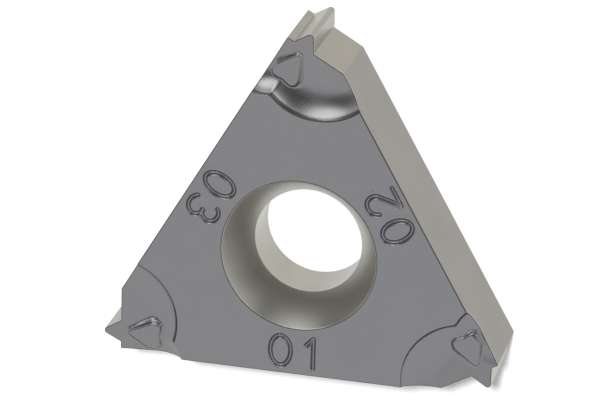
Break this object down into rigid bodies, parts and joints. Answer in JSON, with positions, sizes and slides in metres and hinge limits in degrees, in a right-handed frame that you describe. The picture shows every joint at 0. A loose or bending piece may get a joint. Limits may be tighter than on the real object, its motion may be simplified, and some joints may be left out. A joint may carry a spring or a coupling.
{
  "type": "threading insert",
  "caption": "Triangular laydown threading insert with a sixty degree thread tooth and a chip pocket at each corner and a flared hole for its clamp screw.",
  "frame": {"origin": "on the screw hole's axis, at the flat seat that lies in the holder", "axes": "+Z along the hole's axis from the seat to the face with the chip pockets, +X along the side at the lower edge of that face, +Y towards the opposite corner"},
  "size_m": [0.015, 0.0133, 0.0035],
  "materials": {
    "carbide": "coated cemented carbide, matt grey as pressed on the face, finely ground on the sides"
  },
  "bodies": {
    "root": {"insert": "carbide"}
  },
  "joints": []
}
